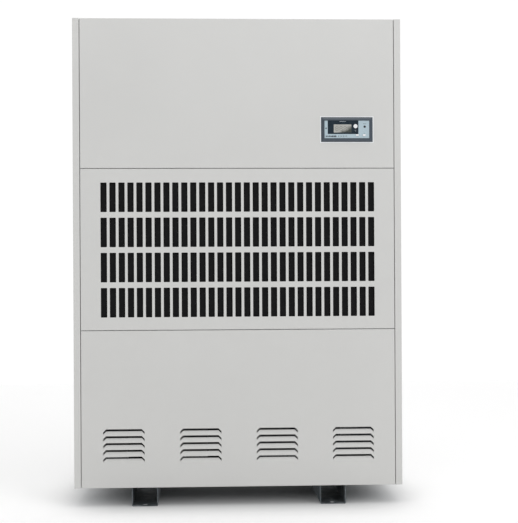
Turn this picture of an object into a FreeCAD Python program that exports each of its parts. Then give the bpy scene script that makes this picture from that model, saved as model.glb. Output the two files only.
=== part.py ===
import FreeCAD, Part
import math
import os

# Industrial cabinet dehumidifier: a folded steel cabinet on two skid rails, drawing room air through a
# slotted intake door, over a cold coil and a hot coil, and blowing it out of the roof.
#
# Millimetres. +Z is up, -Y is the front, +X is the right-hand side seen from the front.
# The origin is on the floor, midway between the four anchor holes of the skid rails.

Vec = FreeCAD.Vector
X, Y, Z = Vec(1, 0, 0), Vec(0, 1, 0), Vec(0, 0, 1)

# ---- driving dimensions -------------------------------------------------------------------------
WIDTH, DEPTH, BODY_H = 1200.0, 460.0, 1710.0      # painted cabinet
RAIL_H, RAIL_W, RAIL_T, RAIL_L = 70.0, 95.0, 3.0, 440.0
RAIL_X, ANCHOR_Y, ANCHOR_R = 345.0, 198.0, 11.0   # rail centres and the anchor holes in their webs
SHEET = 1.5                                       # casing sheet
STRIP = 24.0                                      # front flange of each side panel
SEAM = 2.0                                        # gap round each front panel
LOWER_H, INTAKE_H = 573.0, 590.0                  # heights of the two lower front panels, to seam centres
PANEL_D = 16.0                                    # depth of a front panel's folded edges
BEND_R = 2.5                                      # outside radius of a front panel's bends

SLOT_COLS, SLOT_ROWS = 31, 4
SLOT_W, SLOT_H, SLOT_PX, SLOT_PZ, SLOT_R = 23.0, 107.5, 32.6, 127.9, 2.5
SLOT_DROP = 1.8                                   # slot pattern's centre below the door's

LOUVRE_GROUPS_X = (-419.5, -139.8, 139.8, 419.5)
LOUVRE_COUNT, LOUVRE_PITCH, LOUVRE_Z = 5, 25.0, 93.8   # Z: foot of the lowest louvre, above the cabinet base
LOUVRE_W, LOUVRE_H, LOUVRE_IN, LOUVRE_TAPER = 150.0, 20.0, 9.0, 10.5
LOUVRE_GAP, LOUVRE_SIDE_GAP = 8.0, 5.0            # opening along a louvre's top and its cut-off corners

CTRL_X, CTRL_Z = 401.0, 1304.5                    # centre of the control unit, Z above the cabinet base
CTRL_W, CTRL_H, CTRL_OUT = 190.0, 91.0, 7.0       # bezel, and how far it stands out of the panel

FAN_Y, FAN_Z = 8.0, 1478.0                        # fan shaft axis
WHEEL_R, WHEEL_IN, WHEEL_W = 140.0, 118.0, 250.0
BLOWER_X, BLOWER_W = 295.0, 300.0                 # centre and width of each blower housing
SHAFT_R, SHAFT_END = 10.0, 510.0
RUN = 0.05                                        # radial running clearance

COIL_X, COIL_Z0, COIL_H, COIL_D = 520.0, 690.0, 525.0, 60.0
EVAP_Y, COND_Y = -140.0, -50.0                    # coil mid planes
TUBE_R, TUBE_ROWS = 6.0, 12

COMP_XS, COMP_Y, COMP_R, COMP_H = (-330.0, -20.0), 30.0, 92.0, 400.0
DRAIN_X, DRAIN_Z, DRAIN_R = -532.0, 215.0, 11.0
GLAND_X, GLAND_Z, GLAND_BORE = 455.0, 180.0, 9.0

# ---- places worked out from them ----------------------------------------------------------------
HALF_W, FRONT, BACK = WIDTH / 2, -DEPTH / 2, DEPTH / 2
BASE, TOP = RAIL_H, RAIL_H + BODY_H
SEAM_LOW, SEAM_HIGH = BASE + LOWER_H, BASE + LOWER_H + INTAKE_H
OPEN_HALF = HALF_W - STRIP                        # half width between the two front flanges
PANEL_HALF = OPEN_HALF - SEAM
PANEL_BACK = FRONT + PANEL_D
FRAME_Y = PANEL_BACK + 5.0                        # front of the inner frame
INNER_HALF = HALF_W - SHEET
DECK_Z, DECK_T, TRAY_T = SEAM_LOW + 2.0, 1.5, 1.2
TRAY_FLOOR = DECK_Z + DECK_T + TRAY_T
CTRL_ZC = BASE + CTRL_Z
REAR_SPLIT, ROOF_SKIRT = SEAM_LOW, 20.0           # joint of the two rear panels, and the roof's folded edge
CLEAR_R, TAPPED_R = 2.4, 2.02                     # screw holes, through the skins and into the frame


# ---- helpers ------------------------------------------------------------------------------------
def box(x0, x1, y0, y1, z0, z1):
    return Part.makeBox(x1 - x0, y1 - y0, z1 - z0, Vec(x0, y0, z0))


def rod(start, axis, radius, length):
    return Part.makeCylinder(radius, length, Vec(*start), axis)


def ring(start, axis, outer, inner, length):
    return rod(start, axis, outer, length).cut(rod(start, axis, inner, length))


def fuse(shapes):
    first, rest = shapes[0], list(shapes[1:])
    joined = first.multiFuse(rest) if rest else first
    return joined.removeSplitter()


def cut_all(shape, tools):
    return shape.cut(Part.makeCompound(list(tools)))


def mirror_x(shape):
    return shape.mirror(Vec(0, 0, 0), X)


def moved(shape, x=0.0, y=0.0, z=0.0):
    copy = shape.copy()
    copy.translate(Vec(x, y, z))
    return copy


def prism(points, axis, length):
    """Closed outline of straight edges, pushed along axis."""
    return Part.Face(Part.makePolygon([Vec(*p) for p in points + points[:1]])).extrude(axis * length)


def tube(points, radius, bend, bore=0.0):
    """Round tube along straight runs joined by tangent arcs of one bend radius."""
    pts = [Vec(*p) for p in points]
    edges, start = [], pts[0]
    for before, corner, after in zip(pts, pts[1:], pts[2:]):
        u, v = (corner - before).normalize(), (after - corner).normalize()
        turn = u.getAngle(v)
        reach = bend * math.tan(turn / 2)
        a, b = corner - u * reach, corner + v * reach
        inward = (v - u).normalize()
        centre = corner + inward * (bend / math.cos(turn / 2))
        mid = centre - inward * bend
        edges += [Part.LineSegment(start, a).toShape(), Part.Arc(a, mid, b).toShape()]
        start = b
    edges.append(Part.LineSegment(start, pts[-1]).toShape())
    path = Part.Wire(edges)
    direction = (pts[1] - pts[0]).normalize()

    def sweep(r):
        profile = Part.Wire([Part.Circle(pts[0], direction, r).toShape()])
        return path.makePipeShell([profile], True, False)

    solid = sweep(radius)
    return solid.cut(sweep(bore)) if bore else solid


def screw(x, y, z, axis, radius=4.0, head=2.6, shank=2.0, length=8.0):
    """Pan head screw: the head stands out along axis, the shank runs the other way."""
    at = Vec(x, y, z)
    dome = Part.makeCylinder(radius, head, at, axis)
    rim = [e for e in dome.Edges if e.Curve.TypeId == "Part::GeomCircle"
           and (e.CenterOfMass - at).dot(axis) > head / 2]
    dome = dome.makeFillet(head * 0.55, rim)
    return dome.fuse(Part.makeCylinder(shank, length, at, axis * -1))


def save(name, shape):
    solids = shape.Solids
    shape = solids[0] if len(solids) == 1 else Part.makeCompound(solids)
    assert solids and all(s.isValid() and s.Volume > 0 for s in solids), name
    shape.exportStep(os.path.join("parts", name + ".step"))
    print(f"{name:28s} solids {len(solids):3d}  volume {shape.Volume / 1000:10.1f} cm3")


# ---- casing -------------------------------------------------------------------------------------
def skid_rail():
    """Folded channel, open upwards, with an anchor hole near each end and two fixing holes to the pan."""
    x0, x1, y = RAIL_X - RAIL_W / 2, RAIL_X + RAIL_W / 2, RAIL_L / 2
    outer = box(x0, x1, -y, y, 0, RAIL_H)
    corners = [e for e in outer.Edges if abs(e.CenterOfMass.z) < 1e-6 and abs(e.CenterOfMass.y) < 1e-6]
    outer = outer.makeFillet(5.0, corners)
    inner = box(x0 + RAIL_T, x1 - RAIL_T, -y, y, RAIL_T, RAIL_H + 1)
    foot = [e for e in inner.Edges if abs(e.CenterOfMass.z - RAIL_T) < 1e-6 and abs(e.CenterOfMass.y) < 1e-6]
    channel = outer.cut(inner.makeFillet(2.0, foot))
    lip = 18.0                                    # short lips turned in under the pan carry its screws
    lips = [box(x0 + RAIL_T, x0 + RAIL_T + lip, s - 30, s + 30, RAIL_H - RAIL_T, RAIL_H)
            for s in (-150.0, 150.0)]
    lips += [box(x1 - RAIL_T - lip, x1 - RAIL_T, s - 30, s + 30, RAIL_H - RAIL_T, RAIL_H)
             for s in (-150.0, 150.0)]
    holes = [rod((RAIL_X, s * ANCHOR_Y, -1), Z, ANCHOR_R, RAIL_T + 2) for s in (-1, 1)]
    return cut_all(fuse([channel] + lips), holes)


def base_pan():
    outer = box(-INNER_HALF + 0.5, INNER_HALF - 0.5, FRAME_Y, BACK - SHEET, BASE, BASE + 30)
    t = 2.0
    b = outer.BoundBox
    return outer.cut(box(b.XMin + t, b.XMax - t, b.YMin + t, b.YMax - t, BASE + t, BASE + 31))


def side_panel():
    """Right-hand side skin: front flange with a folded-back lip, and a rear flange."""
    skin = box(HALF_W - SHEET, HALF_W, FRONT, BACK, BASE, TOP)
    front = box(OPEN_HALF, HALF_W, FRONT, FRONT + SHEET, BASE, TOP)
    lip = box(OPEN_HALF, OPEN_HALF + SHEET, FRONT, PANEL_BACK, BASE, TOP)
    rear = box(HALF_W - STRIP, HALF_W, BACK - SHEET, BACK, BASE, TOP)
    panel = fuse([skin, front, lip, rear])
    outer = [e for e in panel.Edges if e.Length > BODY_H - 1 and abs(e.CenterOfMass.x - HALF_W) < 1e-6]
    lip_edge = [e for e in panel.Edges if e.Length > BODY_H - 1
                and abs(e.CenterOfMass.x - OPEN_HALF) < 1e-6 and abs(e.CenterOfMass.y - FRONT) < 1e-6]
    return panel.makeFillet(1.2, outer + lip_edge)


def corner_post(front):
    """Right-hand angle post behind the side skin; the rear one is wide enough for the rear panels' screws."""
    side_leg, t = 30.0, 2.0
    face_leg = 24.0 if front else 50.0
    x1, z0, z1 = INNER_HALF - 0.5, BASE + 30, TOP - ROOF_SKIRT
    y0, y1 = (FRAME_Y, FRAME_Y + side_leg) if front else (BACK - SHEET - side_leg, BACK - SHEET)
    face_y = y0 if front else y1 - t
    return fuse([box(x1 - face_leg, x1, face_y, face_y + t, z0, z1), box(x1 - t, x1, y0, y1, z0, z1)])


def crossbar(zc, height=36.0):
    """Channel between the front posts, open to the rear, that the front panels close against."""
    x, t = INNER_HALF - 3.0, 2.0
    y0, y1 = FRAME_Y + t, FRAME_Y + 26.0
    outer = box(-x, x, y0, y1, zc - height / 2, zc + height / 2)
    return outer.cut(box(-x, x, y0 + t, y1 + 1, zc - height / 2 + t, zc + height / 2 - t))


def rear_crossbar():
    """The same channel between the rear posts, behind the joint of the two rear panels."""
    return moved(crossbar(REAR_SPLIT).mirror(Vec(0, 0, 0), Y), 0, BACK - SHEET + FRAME_Y, 0)


def rear_panel(z0, z1):
    """Flat rear skin between the side panels' rear flanges."""
    x = HALF_W - STRIP - 1.0
    return box(-x, x, BACK - SHEET, BACK, z0, z1)


def rear_screw_places():
    """Screws into the rear posts, and a pair either side of the joint into the rear crossbar."""
    x = HALF_W - STRIP - 14.0
    rows = [BASE + 45, REAR_SPLIT - 45, REAR_SPLIT + 45, (REAR_SPLIT + TOP) / 2, TOP - 45]
    return [(sx, z) for z in rows for sx in (-x, x)] + [(0.0, REAR_SPLIT - 10), (0.0, REAR_SPLIT + 10)]


DISCHARGE_Y = (FAN_Y - 2.0, FAN_Y + 200.0)        # each blower's outlet under the roof
DISCHARGE_HALF = BLOWER_W / 2


def roof():
    """Roof tray with one opening over each blower."""
    x, y0, y1, t = INNER_HALF - 0.5, PANEL_BACK + 1.0, BACK - SHEET, SHEET
    outer = box(-x, x, y0, y1, TOP - ROOF_SKIRT, TOP)
    tray = outer.cut(box(-x + t, x - t, y0 + t, y1 - t, TOP - ROOF_SKIRT - 1, TOP - t))
    vents = [box(cx - DISCHARGE_HALF + 14, cx + DISCHARGE_HALF - 14, DISCHARGE_Y[0] + 14, DISCHARGE_Y[1] - 14,
                 TOP - 5, TOP + 5) for cx in (-BLOWER_X, BLOWER_X)]
    return cut_all(tray, vents)


def discharge_grille(cx):
    """Flanged outlet guard on the roof: a folded frame with two stiffening ribs and fixed vanes."""
    x0, x1 = cx - DISCHARGE_HALF - 4, cx + DISCHARGE_HALF + 4
    y0, y1 = DISCHARGE_Y[0] - 4, DISCHARGE_Y[1] + 4
    flange, drop, t = 20.0, 16.0, 1.5
    plate = box(x0, x1, y0, y1, TOP, TOP + t).cut(
        box(x0 + flange, x1 - flange, y0 + flange, y1 - flange, TOP - 1, TOP + t + 1))
    w0, w1, v0, v1 = x0 + flange, x1 - flange, y0 + flange, y1 - flange
    wall = box(w0, w1, v0, v1, TOP - drop, TOP + t).cut(
        box(w0 + t, w1 - t, v0 + t, v1 - t, TOP - drop - 1, TOP + t + 1))
    pieces = [plate, wall]
    vanes = 11
    pitch = (w1 - w0 - 2 * t) / (vanes + 1)
    for i in range(1, vanes + 1):
        x = w0 + t + i * pitch
        pieces.append(box(x - 0.75, x + 0.75, v0 + t, v1 - t, TOP - drop, TOP + 0.5))
    for y in (v0 + (v1 - v0) / 3, v0 + 2 * (v1 - v0) / 3):
        pieces.append(box(w0 + t, w1 - t, y - 0.75, y + 0.75, TOP - drop + 3, TOP - 2))
    return fuse(pieces)


def grille_screw_places(cx):
    x, y0, y1 = DISCHARGE_HALF - 6, DISCHARGE_Y[0] + 6, DISCHARGE_Y[1] - 6
    return [(cx + sx, y) for sx in (-x, x) for y in (y0, y1)]


# ---- front panels -------------------------------------------------------------------------------
def panel_tray(z0, z1):
    """Front panel folded back on all four edges, bends rounded."""
    outer = box(-PANEL_HALF, PANEL_HALF, FRONT, PANEL_BACK, z0, z1)
    rim = [e for e in outer.Edges if abs(e.CenterOfMass.y - FRONT) < 1e-6]
    outer = outer.makeFillet(BEND_R, rim)
    return outer.cut(box(-PANEL_HALF + SHEET, PANEL_HALF - SHEET, FRONT + SHEET, PANEL_BACK + 1,
                         z0 + SHEET, z1 - SHEET))


def rounded_slot(w, h, r, y0, y1):
    slot = box(-w / 2, w / 2, y0, y1, -h / 2, h / 2)
    edges = [e for e in slot.Edges if abs(e.CenterOfMass.y - (y0 + y1) / 2) < 1e-6]
    return slot.makeFillet(r, edges)


def panel_studs(z0, z1):
    """Spring studs welded to the back of a pull-off panel, that snap into the crossbars."""
    x, reach = PANEL_HALF - 60.0, FRAME_Y + 2.0
    heights = [z for z in (z0 + 12.0, z1 - 12.0) if z > BASE + 40]
    return [rod((sx, FRONT + SHEET, z), Y, 3.0, reach - FRONT - SHEET) for sx in (-x, x) for z in heights]


def upper_panel():
    z0, z1 = SEAM_HIGH + SEAM / 2, TOP
    panel = fuse([panel_tray(z0, z1)] + panel_studs(z0, SEAM_HIGH + 530.0))
    cut = box(CTRL_X - CTRL_W / 2 + 9, CTRL_X + CTRL_W / 2 - 9, FRONT - 1, FRONT + 5,
              CTRL_ZC - CTRL_H / 2 + 9, CTRL_ZC + CTRL_H / 2 - 9)
    return panel.cut(cut)


def louvre_block(half, height, corner):
    """Louvre outline with cut-off upper corners that start at height corner, as a block through the sheet."""
    y0, taper = FRONT - 5, height - corner
    pts = [(-half, y0, 0), (half, y0, 0), (half, y0, corner), (half - taper, y0, height),
           (-half + taper, y0, height), (-half, y0, corner)]
    return prism(pts, Y, 5 + SHEET + LOUVRE_IN + 10)


def louvre_tongue():
    """Tongue pressed inwards from its foot, and lanced free along its top, its corners and its sides."""
    slope = LOUVRE_IN / LOUVRE_H
    top = LOUVRE_H - LOUVRE_GAP
    half = LOUVRE_W / 2 - 0.8
    corner = LOUVRE_H - LOUVRE_TAPER - LOUVRE_SIDE_GAP * math.sqrt(2)
    section = [(0, 0), (SHEET, 0), (SHEET + slope * top, top), (slope * top, top)]
    sheet = prism([(-LOUVRE_W, FRONT + y, z) for y, z in section], X, 2 * LOUVRE_W)
    return louvre_block(half, top, corner).common(sheet)


def lower_panel():
    z0, z1 = BASE, SEAM_LOW - SEAM / 2
    panel = fuse([panel_tray(z0, z1)] + panel_studs(z0, z1))
    places = [(x, BASE + LOUVRE_Z + i * LOUVRE_PITCH) for x in LOUVRE_GROUPS_X for i in range(LOUVRE_COUNT)]
    opening = louvre_block(LOUVRE_W / 2, LOUVRE_H, LOUVRE_H - LOUVRE_TAPER)
    tongue = louvre_tongue()
    panel = cut_all(panel, [moved(opening, x, 0, z) for x, z in places])
    return panel.multiFuse([moved(tongue, x, 0, z) for x, z in places])


HINGE_IN, HINGE_R = 6.0, 3.0                      # pin axis behind both of the door's outer faces
HINGE_X, HINGE_Y = -PANEL_HALF + HINGE_IN, FRONT + HINGE_IN
DOOR_Z0, DOOR_Z1 = SEAM_LOW + SEAM / 2, SEAM_HIGH - SEAM / 2


def intake_door():
    """Slotted air intake door, hung on two hidden pins at its left edge."""
    panel = panel_tray(DOOR_Z0, DOOR_Z1)
    zc = (DOOR_Z0 + DOOR_Z1) / 2 - SLOT_DROP
    slot = rounded_slot(SLOT_W, SLOT_H, SLOT_R, FRONT - 1, FRONT + SHEET + 1)
    x0, z0 = -SLOT_PX * (SLOT_COLS - 1) / 2, zc - SLOT_PZ * (SLOT_ROWS - 1) / 2
    slots = [moved(slot, x0 + i * SLOT_PX, 0, z0 + j * SLOT_PZ)
             for i in range(SLOT_COLS) for j in range(SLOT_ROWS)]
    eyes = [rod((HINGE_X, HINGE_Y, DOOR_Z0 - 1), Z, HINGE_R + RUN, SHEET + 2),
            rod((HINGE_X, HINGE_Y, DOOR_Z1 - SHEET - 1), Z, HINGE_R + RUN, SHEET + 2)]
    return fuse([cut_all(panel, slots + eyes)] + filter_clips())


def hinge_pins():
    """Two pins on tongues welded to the crossbars, reaching through the door's folded edges."""
    pins = []
    for z, up in ((SEAM_LOW, 1), (SEAM_HIGH, -1)):
        thick, half = 1.0, 4.4
        tongue = box(HINGE_X - half, HINGE_X + half, HINGE_Y - half, FRAME_Y + 2.0,
                     z - thick / 2, z + thick / 2)
        start = z - thick / 2 if up > 0 else z - 7.0
        pins.append(fuse([tongue, rod((HINGE_X, HINGE_Y, start), Z, HINGE_R, 7.0 + thick / 2)]))
    return Part.makeCompound(pins)


def filter_frame():
    x, y0, y1 = PANEL_HALF - 16.0, FRONT + SHEET + 1.0, PANEL_BACK - 3.0
    z0, z1, w = DOOR_Z0 + 14.0, DOOR_Z1 - 14.0, 16.0
    outer = box(-x, x, y0, y1, z0, z1)
    hole = box(-x + w, x - w, y0 - 1, y1 + 1, z0 + w, z1 - w)
    groove = box(-x + w - 8, x - w + 8, y0 + 3.0, y0 + 6.0, z0 + w - 8, z1 - w + 8)
    third = PANEL_HALF / 3
    bars = [box(cx - 4, cx + 4, y0 + 6.5, y1, z0 + w - 1, z1 - w + 1) for cx in (-third, third)]
    return fuse([outer.cut(hole)] + bars).cut(groove)


def filter_mesh():
    x, y0 = PANEL_HALF - 16.0, FRONT + SHEET + 1.0
    z0, z1, w = DOOR_Z0 + 14.0, DOOR_Z1 - 14.0, 16.0
    return box(-x + w - 7.5, x - w + 7.5, y0 + 3.5, y0 + 5.5, z0 + w - 7.5, z1 - w + 7.5)


def filter_clips():
    """Folded clips welded inside the door's folds, that hold the filter frame."""
    x, y1 = PANEL_HALF - 16.0, PANEL_BACK - 3.0
    clips = []
    for cx in (-380.0, 0.0, 380.0):
        for z, s in ((DOOR_Z0 + SHEET, 1), (DOOR_Z1 - SHEET, -1)):
            lo, hi = sorted((z, z + s * 22.0))
            stem_lo, stem_hi = sorted((z, z + s * 1.2))
            hold = box(cx - 14, cx + 14, y1 + 0.2, y1 + 1.4, lo, hi)
            stem = box(cx - 14, cx + 14, y1 - 7.0, y1 + 1.4, stem_lo, stem_hi)
            clips.append(fuse([hold, stem]))
    return clips


def magnet_catches():
    """Two magnetic catches on the crossbars that keep the door shut, near its right-hand edge."""
    x1 = PANEL_HALF - SHEET - 5.0
    return Part.makeCompound([box(x1 - 16, x1, PANEL_BACK - 2.6, FRAME_Y + 2.0, z - 20, z + 20)
                              for z in (DOOR_Z0 + 24.0, DOOR_Z1 - 24.0)])


# ---- control unit -------------------------------------------------------------------------------
def at_ctrl(shape):
    """From the control unit's own frame (x across, z up, y 0 on the panel face) to its place."""
    return moved(shape, CTRL_X, FRONT, CTRL_ZC)


PLATE_X0, PLATE_X1, PLATE_Z = -83.0, 82.0, 32.5   # blue face plate
DISPLAY = (-71.0, 42.0, -17.0, 32.5)              # dark display field on it: x0, x1, z0, z1
LCD = (-49.0, 16.5, -11.7, 18.2)
POWER_AT, POWER_R = (31.0, 11.5), 7.5
LAMP_AT, LAMP_R = (65.0, 10.0), 4.5
KEYS_AT, KEY_W, KEY_H = ((37.5, -21.0), (63.0, -21.0)), 11.0, 6.0


def stadium(w, h, y0, y1, cx, cz):
    flat = (w - h) / 2
    straight = box(cx - flat, cx + flat, y0, y1, cz - h / 2, cz + h / 2)
    ends = [rod((cx + s * flat, y0, cz), Y, h / 2, y1 - y0) for s in (-1, 1)]
    return fuse([straight] + ends)


def bezel():
    """Moulded frame with sloping sides, and a sleeve through the panel that holds the works."""
    w, h, run, foot = CTRL_W / 2, CTRL_H / 2, 9.0, -1.0
    slopes = Part.makeWedge(-w + run, -CTRL_OUT, -h + run, -h, -w, w - run, foot, h - run, h, w)
    sleeve = box(-w + 10, w - 10, 0, 24, -h + 10, h - 10)
    shell = fuse([slopes, box(-w, w, foot, 0, -h, h), sleeve])
    well = box(PLATE_X0, PLATE_X1, -CTRL_OUT - 1, -CTRL_OUT + 2.2, -PLATE_Z, PLATE_Z)
    hollow = box(-w + 14, w - 14, -CTRL_OUT + 4.2, 25, -h + 14, h - 14)
    holes = [stadium(KEY_W + 1, KEY_H + 1, -CTRL_OUT, 5, x, z) for x, z in KEYS_AT]
    holes.append(rod((POWER_AT[0], -CTRL_OUT, POWER_AT[1]), Y, POWER_R + 0.5, 10))
    holes.append(rod((LAMP_AT[0], -CTRL_OUT, LAMP_AT[1]), Y, LAMP_R, 10))
    holes.append(box(LCD[0] - 2, LCD[1] + 2, -CTRL_OUT, 5, LCD[2] - 2, LCD[3] + 2))
    return at_ctrl(cut_all(shell.cut(well).cut(hollow), holes))


def face_plate():
    """Printed face plate laid in the bezel's well."""
    y0, y1 = -CTRL_OUT + 1.2, -CTRL_OUT + 2.2
    plate = box(PLATE_X0 + 0.2, PLATE_X1 - 0.2, y0, y1, -PLATE_Z + 0.2, PLATE_Z - 0.2)
    x0, x1, z0, z1 = DISPLAY
    holes = [stadium(KEY_W + 1, KEY_H + 1, y0 - 1, y1 + 1, x, z) for x, z in KEYS_AT]
    holes.append(rod((LAMP_AT[0], y0 - 1, LAMP_AT[1]), Y, LAMP_R, 4))
    holes.append(box(x0, x1, y0 - 1, y1 + 1, z0, z1 + 1))
    return at_ctrl(cut_all(plate, holes))


def display_surround():
    """Dark glossy field round the display and the power key."""
    x0, x1, z0, z1 = DISPLAY
    y0, y1 = -CTRL_OUT + 0.9, -CTRL_OUT + 2.2
    field = box(x0 + 0.2, x1 - 0.2, y0, y1, z0 + 0.2, z1 - 0.2)
    holes = [box(LCD[0], LCD[1], y0 - 1, y1 + 1, LCD[2], LCD[3]),
             rod((POWER_AT[0], y0 - 1, POWER_AT[1]), Y, POWER_R + 0.5, 5)]
    return at_ctrl(cut_all(field, holes))


def display_window():
    x0, x1, z0, z1 = LCD
    return at_ctrl(box(x0 + 0.1, x1 - 0.1, -CTRL_OUT + 1.1, -CTRL_OUT + 2.3, z0 + 0.1, z1 - 0.1))


def round_key():
    """Domed power key on a stem that reaches the switch on the board."""
    x, z = POWER_AT
    cap = rod((x, -CTRL_OUT - 1.2, z), Y, POWER_R, 4.6)
    rim = [e for e in cap.Edges if abs(e.CenterOfMass.y + CTRL_OUT + 1.2) < 1e-6 and e.Length > 30]
    cap = cap.makeFillet(1.0, rim)
    return at_ctrl(cap.fuse(rod((x, -CTRL_OUT + 3.0, z), Y, 2.0, 5.0)))


def oval_key(i):
    x, z = KEYS_AT[i]
    cap = stadium(KEY_W, KEY_H, -CTRL_OUT - 0.4, -CTRL_OUT + 3.4, x, z)
    return at_ctrl(cap.fuse(rod((x, -CTRL_OUT + 3.0, z), Y, 1.5, 5.5)))


def lamp_lens():
    x, z = LAMP_AT
    lens = rod((x, -CTRL_OUT + 0.4, z), Y, LAMP_R - 0.1, 6.0)
    rim = [e for e in lens.Edges if abs(e.CenterOfMass.y + CTRL_OUT - 0.4) < 1e-6 and e.Length > 20]
    return at_ctrl(lens.makeFillet(1.5, rim))


def control_board():
    """Circuit board with its display module, key switches and relays, in the bezel's sleeve."""
    w, h, y0, y1 = CTRL_W / 2 - 14.5, CTRL_H / 2 - 14.5, 7.0, 8.6
    switch_y = -CTRL_OUT + 9.8
    parts = [box(-w, w, y0, y1, -h, h)]
    parts.append(box(LCD[0] - 1.5, LCD[1] + 1.5, -CTRL_OUT + 2.6, y0, LCD[2] - 1.5, LCD[3] + 1.5))
    parts += [box(x - 3, x + 3, switch_y, y0, z - 3, z + 3) for x, z in (POWER_AT,) + KEYS_AT]
    parts += [box(-60 + 32 * i, -44 + 32 * i, y1, 15.0, -20, 2) for i in range(4)]
    return at_ctrl(fuse(parts))


def control_cover():
    """Rear cover of the control unit, closed over the bezel's sleeve."""
    w, h = CTRL_W / 2 - 10, CTRL_H / 2 - 10
    rim = box(-w + 4.5, w - 4.5, 19.0, 24.0, -h + 4.5, h - 4.5).cut(
        box(-w + 6.5, w - 6.5, 18.0, 24.0, -h + 6.5, h - 6.5))
    return at_ctrl(box(-w, w, 24.0, 26.0, -h, h).fuse(rim))


# ---- blowers ------------------------------------------------------------------------------------
SCROLL_R0, SCROLL_GROWTH = 156.0, 16.0            # radius at the cut-off, and growth per quarter turn


def scroll_point(quarter, inset):
    """Point on the scroll, counted in quarter turns from straight above the shaft, going forwards."""
    r = SCROLL_R0 + SCROLL_GROWTH * quarter - inset
    a = math.pi / 2 * (1 + quarter)
    return Vec(0, FAN_Y + r * math.cos(a), FAN_Z + r * math.sin(a))


def scroll_face(inset, top):
    pts = [scroll_point(q / 2, inset) for q in range(7)]
    arcs = [Part.Arc(pts[i], pts[i + 1], pts[i + 2]).toShape() for i in (0, 2, 4)]
    start, end = pts[0] + Vec(0, inset, 0), pts[6]
    roof_a, roof_b = Vec(0, end.y, top), Vec(0, start.y, top)
    lines = [Part.LineSegment(end, roof_a).toShape(), Part.LineSegment(roof_a, roof_b).toShape(),
             Part.LineSegment(roof_b, start).toShape()]
    if inset:
        lines.append(Part.LineSegment(start, pts[0]).toShape())
    return Part.Face(Part.Wire(arcs + lines))


def blower_housing():
    """Right-hand scroll housing, open at the top and with a rolled inlet ring in each side."""
    t, top = 1.2, TOP - 21.5
    x0, w = BLOWER_X - BLOWER_W / 2, BLOWER_W
    outer = moved(scroll_face(0.0, top), x0).extrude(X * w)
    inner = moved(scroll_face(t, top + 1), x0 + t).extrude(X * (w - 2 * t))
    inlet = rod((x0 - 1, FAN_Y, FAN_Z), X, WHEEL_IN - 8, w + 2)
    shell = outer.cut(inner).cut(inlet)
    rolls = []
    for x, s in ((x0, 1), (x0 + w, -1)):
        lip = Part.makeTorus(WHEEL_IN - 8 + 4.0, 4.0, Vec(x, FAN_Y, FAN_Z), X)
        keep = rod((x if s > 0 else x - 6, FAN_Y, FAN_Z), X, WHEEL_IN + 2, 6)
        rolls.append(lip.common(keep))
    return fuse([shell] + rolls)


def blade():
    """Forward-curved blade, thin and arched, lying between the inner and outer wheel radii."""
    t, n0, n1 = 1.0, WHEEL_IN + 1.5, WHEEL_R - 1.5
    mid_r, bow = (n0 + n1) / 2, 4.0

    def point(r, offset):
        return Vec(0, r, offset)

    front = Part.Arc(point(n0, 0), point(mid_r, -bow), point(n1, 5.0)).toShape()
    back = Part.Arc(point(n1, 5.0 + t), point(mid_r, -bow + t), point(n0, t)).toShape()
    ends = [Part.LineSegment(point(n1, 5.0), point(n1, 5.0 + t)).toShape(),
            Part.LineSegment(point(n0, t), point(n0, 0)).toShape()]
    return Part.Face(Part.Wire([front, ends[0], back, ends[1]])).extrude(X * (WHEEL_W - 4.0))


BLADES = 36


def impeller():
    """Double-inlet wheel: hub, centre disc, blades and two rolled end rings."""
    x0 = BLOWER_X - WHEEL_W / 2
    start = (x0, FAN_Y, FAN_Z)
    disc = ring((BLOWER_X - 1.2, FAN_Y, FAN_Z), X, WHEEL_R - 0.5, SHAFT_R, 2.4)
    hub = ring((BLOWER_X - 28, FAN_Y, FAN_Z), X, 26.0, SHAFT_R, 56.0)
    rings = [ring((x, FAN_Y, FAN_Z), X, WHEEL_R, WHEEL_IN, 4.0) for x in (x0, x0 + WHEEL_W - 4.0)]
    first = blade()
    blades = []
    for i in range(BLADES):
        b = moved(first, x0 + 2.0, FAN_Y, FAN_Z)
        b.rotate(Vec(*start), X, 360.0 * i / BLADES)
        blades.append(b)
    return disc.multiFuse([hub] + rings + blades)


def fan_shaft():
    return rod((-SHAFT_END, FAN_Y, FAN_Z), X, SHAFT_R, 2 * SHAFT_END)


MOTOR_HALF, MOTOR_R, STATOR_R = 95.0, 82.0, 54.0


def motor_housing():
    """Finned shell with a foot, bored for the stator."""
    start = (-MOTOR_HALF + 18, FAN_Y, FAN_Z)
    length = 2 * MOTOR_HALF - 36
    shell = rod(start, X, MOTOR_R - 6, length)
    fins = []
    for i in range(24):
        fin = box(start[0] + 6, start[0] + length - 6, FAN_Y - 1.2, FAN_Y + 1.2, FAN_Z, FAN_Z + MOTOR_R)
        fin.rotate(Vec(*start), X, 15.0 * i)
        fins.append(fin)
    foot = box(-62, 62, FAN_Y - 72, FAN_Y + 72, FAN_RAIL_TOP, FAN_RAIL_TOP + 8)
    legs = [box(-50, 50, FAN_Y + y - 5, FAN_Y + y + 5, FAN_RAIL_TOP + 4, FAN_Z - 30) for y in (-50, 50)]
    return fuse([shell] + fins + [foot] + legs).cut(rod(start, X, MOTOR_R - 12, length))


def motor_end_bell():
    """Right-hand end cover with the seat for its bearing."""
    x0 = MOTOR_HALF - 17.9
    cover = rod((x0, FAN_Y, FAN_Z), X, MOTOR_R - 6, 12)
    boss = rod((x0, FAN_Y, FAN_Z), X, 30, 18)
    return cover.fuse(boss).cut(rod((x0 - 1, FAN_Y, FAN_Z), X, 21.0, 16)).cut(
        rod((x0 - 1, FAN_Y, FAN_Z), X, SHAFT_R + 1.5, 30))


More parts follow.
